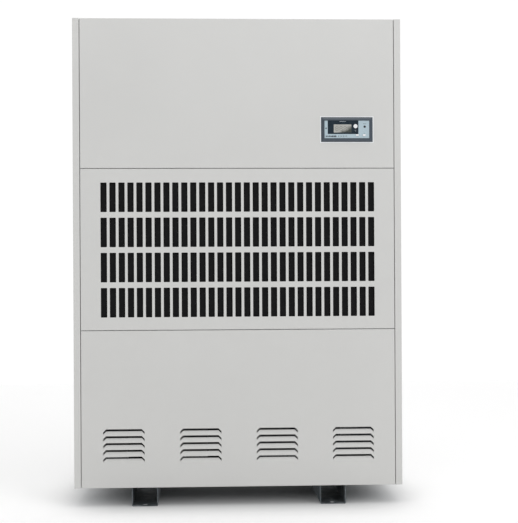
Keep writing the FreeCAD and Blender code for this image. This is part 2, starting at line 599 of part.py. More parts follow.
def motor_stator():
    start = (-60, FAN_Y, FAN_Z)
    core = ring(start, X, MOTOR_R - 12, STATOR_R, 120)
    return fuse([core, ring((-72, FAN_Y, FAN_Z), X, MOTOR_R - 16, STATOR_R + 3, 144)])


def motor_rotor():
    return ring((-62, FAN_Y, FAN_Z), X, STATOR_R - 0.5, SHAFT_R, 124)


def motor_bearings():
    """Ball bearings in the end bells: outer and inner races as one ring each side."""
    right = ring((MOTOR_HALF - 17.0, FAN_Y, FAN_Z), X, 21.0, SHAFT_R + RUN, 14)
    return Part.makeCompound([right, mirror_x(right)])


PILLOW_X = 478.0
FAN_RAIL_TOP = FAN_Z - 200.0


def pillow_block():
    """Right-hand outboard bearing housing on its foot, shaft bore with running clearance."""
    body = rod((PILLOW_X - 12, FAN_Y, FAN_Z), X, 30, 24)
    foot = box(PILLOW_X - 14, PILLOW_X + 14, FAN_Y - 52, FAN_Y + 52, FAN_Z - 38, FAN_Z - 26)
    web = box(PILLOW_X - 10, PILLOW_X + 10, FAN_Y - 30, FAN_Y + 30, FAN_Z - 27, FAN_Z)
    return fuse([body, foot, web]).cut(rod((PILLOW_X - 20, FAN_Y, FAN_Z), X, SHAFT_R + RUN, 40))


def bearing_stand():
    """Folded stand that carries the outboard bearing off the fan rails."""
    t, half = 3.0, 60.0
    top, low = FAN_Z - 38.0, FAN_RAIL_TOP
    plate = box(PILLOW_X - 20, PILLOW_X + 20, FAN_Y - half, FAN_Y + half, top - t, top)
    web = prism([(PILLOW_X - 20, FAN_Y - half, top), (PILLOW_X - 20, FAN_Y + half, top),
                 (PILLOW_X - 20, FAN_Y + 150, low), (PILLOW_X - 20, FAN_Y - 150, low)], X, t)
    foot = box(PILLOW_X - 20, PILLOW_X + 20, FAN_Y - 150, FAN_Y + 150, low, low + t)
    return fuse([plate, web, foot])


def fan_rail(yc):
    """Channel across the cabinet that the blowers and motor stand on."""
    x, t, w, h = INNER_HALF, 2.5, 44.0, 30.0
    outer = box(-x, x, yc - w / 2, yc + w / 2, FAN_RAIL_TOP - h, FAN_RAIL_TOP)
    return outer.cut(box(-x, x, yc - w / 2 + t, yc + w / 2 - t, FAN_RAIL_TOP - h - 1, FAN_RAIL_TOP - t))


def blower_feet():
    """Angle feet that fix each housing's sides to the rails."""
    t, flange, feet = 2.0, 12.0, []
    for side in (-1, 1):
        for edge in (-1, 1):
            x = side * BLOWER_X + edge * BLOWER_W / 2
            x_in, x_out = sorted((x, x + edge * t))
            f_in, f_out = sorted((x, x + edge * flange))
            upright = box(x_in, x_out, FAN_Y - 130, FAN_Y + 130, FAN_RAIL_TOP, FAN_Z - 145)
            flat = box(f_in, f_out, FAN_Y - 130, FAN_Y + 130, FAN_RAIL_TOP, FAN_RAIL_TOP + t)
            feet.append(fuse([upright, flat]))
    return feet


# ---- coils --------------------------------------------------------------------------------------
ROW_PITCH = COIL_H / TUBE_ROWS
TUBE_X = COIL_X + 6.0                             # where the straight runs end
TUBE_LOW, TUBE_HIGH = COIL_Z0 + ROW_PITCH / 2, COIL_Z0 + COIL_H - ROW_PITCH / 2
MANIFOLD_R = 7.5


def tube_rows(yc):
    return [yc - COIL_D / 4, yc + COIL_D / 4]


def coil_tubes(yc):
    """A serpentine of copper tube in each of the two rows, joined at both ends by a cross tube."""
    x, bend = TUBE_X, ROW_PITCH / 2
    runs = []
    for y in tube_rows(yc):
        edges = []
        for i in range(TUBE_ROWS):
            z = TUBE_LOW + ROW_PITCH * i
            s = -1 if i % 2 == 0 else 1
            edges.append(Part.LineSegment(Vec(-s * x, y, z), Vec(s * x, y, z)).toShape())
            if i < TUBE_ROWS - 1:
                edges.append(Part.Arc(Vec(s * x, y, z), Vec(s * (x + bend), y, z + bend),
                                      Vec(s * x, y, z + ROW_PITCH)).toShape())
        profile = Part.Wire([Part.Circle(Vec(x, y, TUBE_LOW), X, TUBE_R).toShape()])
        runs.append(Part.Wire(edges).makePipeShell([profile], True, False))
    cross = [rod((x, yc - COIL_D / 4 - 8, z), Y, MANIFOLD_R, COIL_D / 2 + 16) for z in (TUBE_LOW, TUBE_HIGH)]
    return runs[0].multiFuse([runs[1]] + cross)


def coil_holes(yc, x0, x1):
    return [rod((x0, y, COIL_Z0 + ROW_PITCH * (i + 0.5)), X, TUBE_R + 0.1, x1 - x0)
            for y in tube_rows(yc) for i in range(TUBE_ROWS)]


def coil_fins(yc):
    """Fin pack between the end plates, drawn solid."""
    x = COIL_X - 3.0
    pack = box(-x, x, yc - COIL_D / 2, yc + COIL_D / 2, COIL_Z0, COIL_Z0 + COIL_H)
    return cut_all(pack, coil_holes(yc, -x - 1, x + 1))


def coil_end_plates(yc):
    """Tube plates that stand in the drain tray and carry the coil."""
    t, plates = 1.5, []
    for s in (-1, 1):
        x0, x1 = sorted((s * (COIL_X - 1.5), s * (COIL_X - 1.5 - t)))
        plate = box(x0, x1, yc - COIL_D / 2 - 6, yc + COIL_D / 2 + 6, TRAY_FLOOR, COIL_Z0 + COIL_H + 12)
        plates.append(cut_all(plate, coil_holes(yc, x0 - 1, x1 + 1)))
    return plates


def partition_deck():
    """Sheet floor between the coil bay and the compressor bay, with pipe and drain holes."""
    x, t = INNER_HALF, DECK_T
    deck = box(-x, x, FRAME_Y + 30, BACK - 36, DECK_Z, DECK_Z + t)
    holes = [rod((HEADER_X, y, DECK_Z - 1), Z, 14, t + 2) for y in (SUCTION_Y, HOT_GAS_Y, LIQUID_Y, FEED_Y)]
    holes.append(rod((DRAIN_X, EVAP_Y, DECK_Z - 1), Z, DRAIN_R + 4, t + 2))
    return cut_all(deck, holes)


def drain_tray():
    """Condensate tray under both coils, with its spigot at the left."""
    x0, x1, y0, y1 = -566.0, HEADER_X - 24.0, EVAP_Y - 42, COND_Y + 42
    z0, z1, t = DECK_Z + DECK_T, DECK_Z + 30.0, TRAY_T
    pan = box(x0, x1, y0, y1, z0, z1).cut(box(x0 + t, x1 - t, y0 + t, y1 - t, TRAY_FLOOR, z1 + 1))
    spigot = rod((DRAIN_X, EVAP_Y, DECK_Z - 26), Z, DRAIN_R, 30)
    return pan.fuse(spigot).cut(rod((DRAIN_X, EVAP_Y, DECK_Z - 27), Z, DRAIN_R - 2, 40))


def coil_baffle():
    """Strip that closes the space above the coils, so that all the air passes through them."""
    z = COIL_Z0 + COIL_H + 12
    x = INNER_HALF - 3.0
    return box(-x, x, FRAME_Y + 26, COND_Y + COIL_D / 2 + 6, z, z + 1.5)


# ---- refrigeration ------------------------------------------------------------------------------
HEADER_X = 568.0                                  # risers stand here, clear of the coils' return bends
SUCTION_Y, FEED_Y = EVAP_Y + COIL_D / 4, EVAP_Y - COIL_D / 4
HOT_GAS_Y, LIQUID_Y = COND_Y + COIL_D / 4, COND_Y - COIL_D / 4
COIL_PORT_X = TUBE_X + MANIFOLD_R + 0.1
MANIFOLD_Z, SUCTION_Z = 604.0, 572.0
COMP_FOOT_Z = BASE + 2.0 + 22.0                   # top of the rubber mounts
COMP_TOP = COMP_FOOT_Z + 4 + COMP_H


def compressor(cx):
    """Welded hermetic shell with domed ends, two weld bands, a foot plate and its suction stub."""
    z0, z1, dome, r, band = COMP_FOOT_Z + 4, COMP_FOOT_Z + 4 + COMP_H, 40.0, COMP_R, 2.5
    rise = dome * math.sin(math.pi / 4)
    run = r - dome * (1 - math.cos(math.pi / 4))
    outline = [Vec(0, 0, z0), Vec(r, 0, z0), Vec(r, 0, z0 + 60), Vec(r + band, 0, z0 + 60),
               Vec(r + band, 0, z0 + 67), Vec(r, 0, z0 + 67), Vec(r, 0, z1 - 90), Vec(r + band, 0, z1 - 90),
               Vec(r + band, 0, z1 - 83), Vec(r, 0, z1 - 83), Vec(r, 0, z1 - dome)]
    edges = [Part.LineSegment(a, b).toShape() for a, b in zip(outline, outline[1:])]
    edges.append(Part.Arc(outline[-1], Vec(run, 0, z1 - dome + rise), Vec(r - dome, 0, z1)).toShape())
    edges += [Part.LineSegment(Vec(r - dome, 0, z1), Vec(0, 0, z1)).toShape(),
              Part.LineSegment(Vec(0, 0, z1), outline[0]).toShape()]
    shell = moved(Part.Face(Part.Wire(edges)).revolve(Vec(0, 0, 0), Z, 360), cx, COMP_Y)
    foot = box(cx - 105, cx + 105, COMP_Y - 105, COMP_Y + 105, COMP_FOOT_Z, COMP_FOOT_Z + 5)
    foot = foot.makeFillet(25.0, [e for e in foot.Edges if abs(e.Length - 5) < 1e-6])
    stub = rod((cx, COMP_Y - COMP_R - STUB_OUT, SUCTION_STUB_Z), Y, 15, 40)
    return shell.fuse(foot).fuse(stub)


SUCTION_STUB_Z, STUB_OUT = 400.0, 14.0


def compressor_mounts():
    """Rubber mounts, four to a compressor, waisted."""
    mounts = []
    for cx in COMP_XS:
        for sx in (-84, 84):
            for sy in (-84, 84):
                at = (cx + sx, COMP_Y + sy)
                z0 = BASE + 2.0
                low = Part.makeCone(16, 12, 11, Vec(*at, z0))
                high = Part.makeCone(12, 15, 11, Vec(*at, z0 + 11))
                mounts.append(fuse([low, high]))
    return Part.makeCompound(mounts)


def discharge_line():
    """Hot gas line: a riser off each compressor, joined, then up to the condenser's top port."""
    y, bend = HOT_GAS_Y, 22.0
    riser = [[(x, COMP_Y, COMP_TOP), (x, COMP_Y, MANIFOLD_Z - 40), (x, y, MANIFOLD_Z)] for x in COMP_XS]
    main = riser[0] + [(HEADER_X, y, MANIFOLD_Z), (HEADER_X, y, TUBE_HIGH), (COIL_PORT_X, y, TUBE_HIGH)]
    return tube(main, 9.5, bend).fuse(tube(riser[1], 9.5, bend))


def suction_line():
    """Cold gas line: from the evaporator's top port, along the bay, and down to both stubs."""
    y, end_y, bend = SUCTION_Y, COMP_Y - COMP_R - STUB_OUT, 15.0
    drop = [[(x, y, SUCTION_Z), (x, y, SUCTION_STUB_Z), (x, end_y, SUCTION_STUB_Z)] for x in COMP_XS]
    main = [(COIL_PORT_X, y, TUBE_HIGH), (HEADER_X, y, TUBE_HIGH), (HEADER_X, y, SUCTION_Z)] + drop[0]
    return tube(main, 11.0, bend).fuse(tube(drop[1], 11.0, bend))


DRIER_Z, DRIER_X = 470.0, (150.0, 300.0)
VALVE_X, VALVE_Z, VALVE_HALF = 454.0, 530.0, 14.0
LIQUID_R = 5.0


def liquid_lines():
    """Liquid: condenser's foot to the drier, on to the expansion valve, and to the evaporator's foot."""
    y, bend, left = LIQUID_Y, 20.0, DRIER_X[0] - 40.0
    routes = [[(COIL_PORT_X, y, TUBE_LOW), (HEADER_X, y, TUBE_LOW), (HEADER_X, y, DRIER_Z),
               (DRIER_X[1], y, DRIER_Z)],
              [(DRIER_X[0], y, DRIER_Z), (left, y, DRIER_Z), (left, FEED_Y, DRIER_Z), (left, FEED_Y, VALVE_Z),
               (VALVE_X - VALVE_HALF, FEED_Y, VALVE_Z)],
              [(VALVE_X + VALVE_HALF, FEED_Y, VALVE_Z), (HEADER_X, FEED_Y, VALVE_Z),
               (HEADER_X, FEED_Y, TUBE_LOW), (COIL_PORT_X, FEED_Y, TUBE_LOW)]]
    return [tube(route, LIQUID_R, bend) for route in routes]


def filter_drier():
    """Turned canister with a cone at each end."""
    x0, x1 = DRIER_X
    body = rod((x0 + 22, LIQUID_Y, DRIER_Z), X, 26, x1 - x0 - 44)
    cones = [Part.makeCone(8, 26, 22, Vec(x0, LIQUID_Y, DRIER_Z), X),
             Part.makeCone(26, 8, 22, Vec(x1 - 22, LIQUID_Y, DRIER_Z), X)]
    return fuse([body] + cones)


def expansion_valve():
    """Brass block with its power head on top."""
    a, z = VALVE_HALF, VALVE_Z
    body = box(VALVE_X - a, VALVE_X + a, FEED_Y - a, FEED_Y + a, z - a, z + a)
    return body.fuse(rod((VALVE_X, FEED_Y, z + a), Z, 18, 12))


# ---- drain and level switch ---------------------------------------------------------------------
def drain_pipe():
    """Pipe from the tray's spigot down the left side and out through the rear panel's fitting."""
    return tube([(DRAIN_X, EVAP_Y, DECK_Z - 10), (DRAIN_X, EVAP_Y, DRAIN_Z), (DRAIN_X, BACK - 14.5, DRAIN_Z)],
                DRAIN_R + 3.0, 60.0, DRAIN_R + 0.1)


def drain_fitting():
    """Bulkhead fitting in the rear panel: flange outside, nut inside, plain spigot for a hose."""
    axis_start = (DRAIN_X, BACK - 14.0, DRAIN_Z)
    stem = rod(axis_start, Y, DRAIN_R, 14.0 + 40.0)
    flange = rod((DRAIN_X, BACK + 0.1, DRAIN_Z), Y, 20, 4.9)
    nut = rod((DRAIN_X, BACK - 8.0, DRAIN_Z), Y, 15, 6.5)
    return fuse([stem, flange, nut]).cut(rod((DRAIN_X, BACK - 15, DRAIN_Z), Y, DRAIN_R - 2.5, 60))


FLOAT_X, FLOAT_Y, FLOAT_Z = -470.0, EVAP_Y + 42.0, TRAY_FLOOR


def float_switch():
    """Level switch in the drain tray: a stem with a stop at its head, on a bracket."""
    stem = rod((FLOAT_X, FLOAT_Y, FLOAT_Z), Z, 3.0, 40)
    stop = rod((FLOAT_X, FLOAT_Y, FLOAT_Z + 26), Z, 6.0, 6.0)
    return fuse([stem, stop])


def level_float():
    return ring((FLOAT_X, FLOAT_Y, FLOAT_Z + 2), Z, 8.5, 3.0 + 0.3, 12)


# ---- electrics ----------------------------------------------------------------------------------
ELEC, ELEC_T = (335.0, 555.0, -20.0, 110.0, 120.0, 440.0), 1.5


def electrical_box():
    """Open-fronted box on two folded legs."""
    x0, x1, y0, y1, z0, z1 = ELEC
    t = ELEC_T
    shell = box(x0, x1, y0, y1, z0, z1).cut(box(x0 + t, x1 - t, y0 - 1, y1 - t, z0 + t, z1 - t))
    legs = [box(x, x + 25, y0 + 10, y1 - 10, BASE + 2, z0) for x in (x0 + 10, x1 - 35)]
    return fuse([shell] + legs)


def contactors():
    """One contactor for each compressor and one for the fan motor."""
    x0, x1, y0, y1, z0, z1 = ELEC
    units = []
    for i in range(3):
        x = x0 + 16 + i * 56
        base = box(x, x + 45, y1 - 60, y1 - ELEC_T, z1 - 120, z1 - 42)
        nose = box(x + 6, x + 39, y1 - 86, y1 - 60, z1 - 106, z1 - 56)
        units.append(fuse([base, nose]))
    return Part.makeCompound(units)


BREAKER_X = ELEC[0] + 20.0


def breaker():
    """Three-pole circuit breaker."""
    x0, x1, y0, y1, z0, z1 = ELEC
    low = box(BREAKER_X, BREAKER_X + 54, y1 - 55, y1 - ELEC_T, z0 + 48, z0 + 132)
    nose = box(BREAKER_X, BREAKER_X + 54, y1 - 72, y1 - 55, z0 + 68, z0 + 112)
    slot = box(BREAKER_X + 8, BREAKER_X + 46, y1 - 73, y1 - 56, z0 + 72, z0 + 108)
    return fuse([low, nose]).cut(slot)


TOGGLE_Y, TOGGLE_Z = ELEC[3] - 64.0, ELEC[4] + 90.0


def breaker_toggle():
    """Ganged handle, shown up (on), turning about a pin across the breaker's slot."""
    barrel = rod((BREAKER_X + 9, TOGGLE_Y, TOGGLE_Z), X, 6.5, 36)
    arm = box(BREAKER_X + 12, BREAKER_X + 42, -19, 0, -2.5, 2.5)
    arm.rotate(Vec(0, 0, 0), X, -25)
    return barrel.fuse(moved(arm, 0, TOGGLE_Y, TOGGLE_Z))


def cable_gland():
    """Gland for the supply cable in the rear panel."""
    at = (GLAND_X, BACK - 12, GLAND_Z)
    stem = rod(at, Y, 14.0, 12 + 10)
    hexagon = prism([(GLAND_X + 18 * math.cos(math.radians(60 * k)), BACK + 0.1,
                      GLAND_Z + 18 * math.sin(math.radians(60 * k))) for k in range(6)], Y, 8)
    cap = rod((GLAND_X, BACK + 8, GLAND_Z), Y, 15.5, 16)
    cap = cap.makeFillet(4.0, [e for e in cap.Edges if abs(e.CenterOfMass.y - BACK - 24) < 1e-6])
    nut = rod((GLAND_X, BACK - 8, GLAND_Z), Y, 19, 6)
    return fuse([stem, hexagon, cap, nut]).cut(rod((GLAND_X, BACK - 13, GLAND_Z), Y, GLAND_BORE, 60))


# ---- fasteners ----------------------------------------------------------------------------------
def rear_screws():
    return [screw(x, BACK + 0.05, z, Y) for x, z in rear_screw_places()]


def side_screw_places():
    return [(y, z) for y in (-150.0, 0.0, 150.0) for z in (BASE + 15, TOP - 10)]


def side_screws():
    right = [screw(HALF_W + 0.05, y, z, X) for y, z in side_screw_places()]
    return right + [mirror_x(s) for s in right]


def roof_screws():
    places = [p for cx in (-BLOWER_X, BLOWER_X) for p in grille_screw_places(cx)]
    return [screw(x, y, TOP + 1.55, Z, 3.5, 2.2, 1.6, 6.0) for x, y in places]


def rear_screw_holes(radius):
    """Holes for the rear screws, through the panels or, smaller, through what is behind them."""
    return [rod((x, BACK - 12, z), Y, radius, 20) for x, z in rear_screw_places()]


def side_screw_holes(radius):
    """Holes for the side screws, on both sides."""
    right = [rod((HALF_W - 12, y, z), X, radius, 14) for y, z in side_screw_places()]
    return right + [mirror_x(hole) for hole in right]


def mount_bolts():
    """Hexagon bolts that hold the outboard bearings and the motor's foot."""
    bolts = []
    places = [(s * PILLOW_X, FAN_Y + y, FAN_Z - 26) for s in (-1, 1) for y in (-42, 42)]
    places += [(x, FAN_Y + y, FAN_RAIL_TOP + 8) for x in (-54, 54) for y in (-64, 64)]
    for x, y, z in places:
        corners = [math.radians(60 * k) for k in range(6)]
        bolts.append(prism([(x + 7 * math.cos(a), y + 7 * math.sin(a), z) for a in corners], Z, 5.0))
    return Part.makeCompound(bolts)


# ---- build --------------------------------------------------------------------------------------
def pair(shape):
    """A right-hand piece and its mirror image."""
    return Part.makeCompound([shape, mirror_x(shape)])


def build_casing():
    save("skid_rails", pair(skid_rail()))
    save("base_pan", cut_all(base_pan(), side_screw_holes(TAPPED_R)))
    side = cut_all(side_panel(), side_screw_holes(CLEAR_R))
    save("side_panel_right", side)
    save("side_panel_left", mirror_x(side))
    posts = [corner_post(True), corner_post(False)]
    posts += [mirror_x(p) for p in posts]
    save("corner_posts", Part.makeCompound([cut_all(p, rear_screw_holes(TAPPED_R)) for p in posts]))
    bars = [crossbar(SEAM_LOW), crossbar(SEAM_HIGH), crossbar(TOP - 42.0)]
    bars.append(cut_all(rear_crossbar(), rear_screw_holes(TAPPED_R)))
    save("crossbars", Part.makeCompound(bars))
    drain_hole = rod((DRAIN_X, BACK - 20, DRAIN_Z), Y, DRAIN_R + 0.3, 30)
    gland_hole = rod((GLAND_X, BACK - 20, GLAND_Z), Y, 14.3, 30)
    shanks = rear_screw_holes(CLEAR_R)
    lower_holes = shanks + [drain_hole, gland_hole]
    save("rear_panel_lower", cut_all(rear_panel(BASE + 31, REAR_SPLIT - 0.8), lower_holes))
    save("rear_panel_upper", cut_all(rear_panel(REAR_SPLIT + 0.8, TOP - ROOF_SKIRT - 1), shanks))
    vents = [rod((x, y, TOP - 10), Z, 2.0, 20)
             for cx in (-BLOWER_X, BLOWER_X) for x, y in grille_screw_places(cx)]
    save("roof_panel", cut_all(roof(), vents + side_screw_holes(TAPPED_R)))
    grilles = [cut_all(discharge_grille(cx), vents) for cx in (-BLOWER_X, BLOWER_X)]
    save("discharge_grilles", Part.makeCompound(grilles))
    save("upper_front_panel", upper_panel())
    save("lower_front_panel", lower_panel())
    save("intake_door", intake_door())
    save("door_hinge_pins", hinge_pins())
    save("door_catches", magnet_catches())
    save("filter_frame", filter_frame())
    save("filter_mesh", filter_mesh())
    save("panel_screws", Part.makeCompound(rear_screws() + side_screws() + roof_screws()))


def build_control_unit():
    save("control_bezel", bezel())
    save("control_face_plate", face_plate())
    save("display_surround", display_surround())
    save("display_window", display_window())
    save("power_key", round_key())
    save("down_key", oval_key(0))
    save("up_key", oval_key(1))
    save("lamp_lens", lamp_lens())
    save("control_board", control_board())
    save("control_cover", control_cover())


def build_fans():
    wheel = impeller()
    save("blower_housings", pair(blower_housing()))
    save("impellers", Part.makeCompound([wheel, moved(wheel, -2 * BLOWER_X)]))
    save("fan_shaft", fan_shaft())
    save("motor_housing", Part.makeCompound([motor_housing(), motor_end_bell(), mirror_x(motor_end_bell())]))
    save("motor_stator", motor_stator())
    save("motor_rotor", motor_rotor())
    save("motor_bearings", motor_bearings())
    save("pillow_blocks", pair(pillow_block()))
    save("fan_brackets", Part.makeCompound([bearing_stand(), mirror_x(bearing_stand())] + blower_feet()))
    save("fan_rails", Part.makeCompound([fan_rail(FAN_Y - 105), fan_rail(FAN_Y + 105)]))
    save("fan_bolts", mount_bolts())


def build_refrigeration():
    for name, yc in (("evaporator", EVAP_Y), ("condenser", COND_Y)):
        save(name + "_tubes", coil_tubes(yc))
        save(name + "_fins", coil_fins(yc))
    save("coil_end_plates", Part.makeCompound(coil_end_plates(EVAP_Y) + coil_end_plates(COND_Y)))
    save("partition_sheets", Part.makeCompound([partition_deck(), coil_baffle()]))
    save("drain_tray", drain_tray())
    save("drain_pipe", drain_pipe())
    save("drain_fitting", drain_fitting())
    save("float_switch", float_switch())
    save("level_float", level_float())
    save("compressor_shells", Part.makeCompound([compressor(x) for x in COMP_XS]))
    save("compressor_mounts", compressor_mounts())
    save("refrigerant_lines", Part.makeCompound([discharge_line(), suction_line()] + liquid_lines()))
    save("filter_drier", filter_drier())
    save("expansion_valve", expansion_valve())


def build_electrics():
    save("electrical_box", electrical_box())
    save("breaker", breaker())
    save("breaker_toggle", breaker_toggle())
    save("contactors", contactors())
    save("cable_gland", cable_gland())


os.makedirs("parts", exist_ok=True)
build_casing()
build_control_unit()
build_fans()
build_refrigeration()
build_electrics()
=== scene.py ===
import bpy
import bmesh
import math
from mathutils import Matrix, Vector


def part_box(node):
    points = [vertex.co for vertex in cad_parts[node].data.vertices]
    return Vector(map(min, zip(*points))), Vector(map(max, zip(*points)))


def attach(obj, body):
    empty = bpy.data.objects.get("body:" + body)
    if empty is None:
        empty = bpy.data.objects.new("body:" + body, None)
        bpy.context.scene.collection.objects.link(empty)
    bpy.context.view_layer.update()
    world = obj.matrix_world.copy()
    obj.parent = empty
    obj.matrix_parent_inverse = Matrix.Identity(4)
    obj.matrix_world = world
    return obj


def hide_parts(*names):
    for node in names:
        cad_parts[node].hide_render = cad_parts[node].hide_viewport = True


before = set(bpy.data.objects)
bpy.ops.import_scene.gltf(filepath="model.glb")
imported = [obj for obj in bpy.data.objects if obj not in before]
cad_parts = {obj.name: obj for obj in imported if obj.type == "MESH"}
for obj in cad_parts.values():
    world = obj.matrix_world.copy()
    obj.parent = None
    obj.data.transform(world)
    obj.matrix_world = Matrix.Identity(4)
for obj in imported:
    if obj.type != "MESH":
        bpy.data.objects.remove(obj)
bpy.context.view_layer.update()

MM = 0.001


# ---- shader arithmetic --------------------------------------------------------------------------
class Number:
    """A number socket, so that shader maths is written as arithmetic."""

    def __init__(self, finish, socket):
        self.finish, self.socket = finish, socket

    def _math(self, operation, first, second):
        return self.finish.node("ShaderNodeMath", {"operation": operation}, {0: first, 1: second})

    def __add__(self, other):
        return self._math("ADD", self, other)

    def __radd__(self, other):
        return self._math("ADD", other, self)

    def __sub__(self, other):
        return self._math("SUBTRACT", self, other)

    def __rsub__(self, other):
        return self._math("SUBTRACT", other, self)

    def __mul__(self, other):
        return self._math("MULTIPLY", self, other)

    def __rmul__(self, other):
        return self._math("MULTIPLY", other, self)

    def __gt__(self, other):
        return self._math("GREATER_THAN", self, other)

    def clamp(self):
        return self._math("MAXIMUM", self._math("MINIMUM", self, 1.0), 0.0)


class Finish:
    """One material: constants sit on the shader's sockets, and what varies is linked into them."""

    def __init__(self, name, **sockets):
        self.material = bpy.data.materials.new(name)
        self.material.use_nodes = True
        self.tree = self.material.node_tree
        self.shader = self.tree.nodes["Principled BSDF"]
        for key, value in sockets.items():
            self.set(key.replace("_", " "), value)

    def set(self, key, value):
        socket = self.shader.inputs[key]
        if isinstance(value, Number):
            self.tree.links.new(value.socket, socket)
        elif socket.type == "RGBA":
            socket.default_value = (*value, 1.0)
        else:
            socket.default_value = value

    def node(self, kind, settings=None, inputs=None, output=0):
        node = self.tree.nodes.new(kind)
        for key, value in (settings or {}).items():
            setattr(node, key, value)
        for key, value in (inputs or {}).items():
            socket = node.inputs[key]
            if isinstance(value, Number):
                self.tree.links.new(value.socket, socket)
            elif socket.type == "RGBA" and len(value) == 3:
                socket.default_value = (*value, 1.0)
            else:
                socket.default_value = value
        return Number(self, node.outputs[output])

    def place(self):
        """Object coordinates, in metres."""
        return self.node("ShaderNodeTexCoord", output="Object")

    def axes(self):
        """Object coordinates as three numbers."""
        split = self.node("ShaderNodeSeparateXYZ", None, {0: self.place()})
        return [Number(self, output) for output in split.socket.node.outputs]

    def stretched(self, scale):
        """Object coordinates with a scale of their own along each axis."""
        return self.node("ShaderNodeMapping", None, {"Vector": self.place(), "Scale": scale})

    def noise(self, scale, detail=3.0, roughness=0.5, place=None):
        return self.node("ShaderNodeTexNoise", None,
                         {"Vector": place or self.place(), "Scale": scale,
                          "Detail": detail, "Roughness": roughness})

    def cells(self, scale, output="Distance"):
        return self.node("ShaderNodeTexVoronoi", None, {"Vector": self.place(), "Scale": scale}, output)

    def sine(self, value):
        return self.node("ShaderNodeMath", {"operation": "SINE"}, {0: value})

    def mix(self, factor, first, second):
        """A colour from first to second as factor goes from 0 to 1."""
        return self.node("ShaderNodeMix", {"data_type": "RGBA"}, {0: factor, 6: first, 7: second}, 2)

    def spread(self, factor, low, high):
        """A number from low to high as factor goes from 0 to 1."""
        return self.node("ShaderNodeMapRange", None, {"Value": factor, "To Min": low, "To Max": high})

    def bump(self, height, strength, depth):
        """Relief from a height; depth is in metres."""
        self.set("Normal", self.node("ShaderNodeBump", None,
                                     {"Strength": strength, "Distance": depth, "Height": height}))


# ---- finishes -----------------------------------------------------------------------------------
def shaded(colour, factor):
    """The same colour, darker or lighter."""
    return [min(1.0, c * factor) for c in colour]


def powder_coat(name, colour):
    """Baked powder coat: fine orange peel, faint mottling, and a patchy darker, browner tone towards the
    bottom.
    """
    f = Finish(name, Specular_IOR_Level=0.45)
    height = f.axes()[2]
    mottle = f.noise(3.2, 4.0, 0.6)
    # Patchy darkening towards the bottom, mixed towards a browner grey.
    low_darkening = f.noise(38.0, 6.0, 0.7) * f.spread(height, 1.0, 0.0).clamp()
    tint = f.mix(mottle, shaded(colour, 0.965), shaded(colour, 1.035))
    f.set("Base Color", f.mix((low_darkening * 0.10).clamp(), tint, (0.46, 0.44, 0.40)))
    peel = f.noise(420.0, 2.0, 0.45)
    f.set("Roughness", f.spread(f.noise(60.0), 0.37, 0.49))
    f.bump(peel + f.noise(1500.0, 1.0) * 0.35, 0.22, 0.00025)
    return f.material


def galvanised(name, colour=(0.50, 0.53, 0.55), scale=75.0, roughness=(0.28, 0.52)):
    """Hot-dip zinc: angular spangle with different tones and sheens, and a light white bloom."""
    f = Finish(name, Metallic=0.85)
    spangle = f.cells(scale, "Color")
    tone = f.node("ShaderNodeSeparateColor", None, {0: spangle})
    bloom = (f.noise(14.0, 5.0, 0.65) - 0.45).clamp() * 1.6
    zinc = f.mix(tone, shaded(colour, 0.72), shaded(colour, 1.22))
    f.set("Base Color", f.mix(bloom.clamp(), zinc, (0.62, 0.64, 0.65)))
    f.set("Roughness", f.spread(tone, *roughness))
    f.bump(f.noise(900.0, 2.0), 0.15, 0.0002)
    return f.material


def moulded(name, colour, roughness=0.5, grain=1400.0):
    """Moulded plastic with a spark-eroded texture."""
    f = Finish(name, Specular_IOR_Level=0.4)
    f.set("Base Color", f.mix(f.noise(25.0, 3.0), shaded(colour, 0.9), shaded(colour, 1.1)))
    f.set("Roughness", f.spread(f.noise(220.0, 3.0), roughness - 0.06, roughness + 0.06))
    f.bump(f.noise(grain, 2.0, 0.6), 0.3, 0.00012)
    return f.material


def bare_metal(name, colour, roughness, metallic=1.0, along=(1.0, 1.0, 1.0),
               stain=(0.3, 0.3, 0.3), amount=0.15):
    """Worked metal: fine drawing or grinding lines along one way, and a little staining."""
    f = Finish(name, Metallic=metallic)
    lines = f.noise(160.0, 4.0, 0.7, f.stretched(along))
    patches = (f.noise(9.0, 5.0, 0.65) - 0.5).clamp() * (4.0 * amount)
    f.set("Base Color", f.mix(patches.clamp(), f.mix(lines, shaded(colour, 0.82), colour), stain))
    f.set("Roughness", f.spread(lines, roughness - 0.07, roughness + 0.09))
    f.bump(lines, 0.2, 0.0001)
    return f.material


def enamel(name, colour):
    """Brushed-on or dipped enamel over metal, with sags and specks."""
    f = Finish(name, Coat_Weight=0.25, Coat_Roughness=0.2)
    f.set("Base Color", f.mix(f.noise(11.0, 4.0), shaded(colour, 0.8), shaded(colour, 1.15)))
    f.set("Roughness", f.spread(f.noise(70.0, 4.0), 0.29, 0.45))
    f.bump(f.noise(95.0), 0.25, 0.0004)
    return f.material


def cast_iron(name):
    """Sand-cast surface, rough and slightly rusted in its hollows."""
    f = Finish(name, Metallic=0.6)
    pits = f.noise(260.0, 6.0, 0.7)
    rust = (f.noise(22.0, 5.0, 0.7) - 0.58).clamp() * 3.0
    f.set("Base Color", f.mix(rust.clamp(), (0.10, 0.105, 0.11), (0.20, 0.10, 0.06)))
    f.set("Roughness", f.spread(pits, 0.55, 0.8))
    f.bump(pits, 0.6, 0.0006)
    return f.material


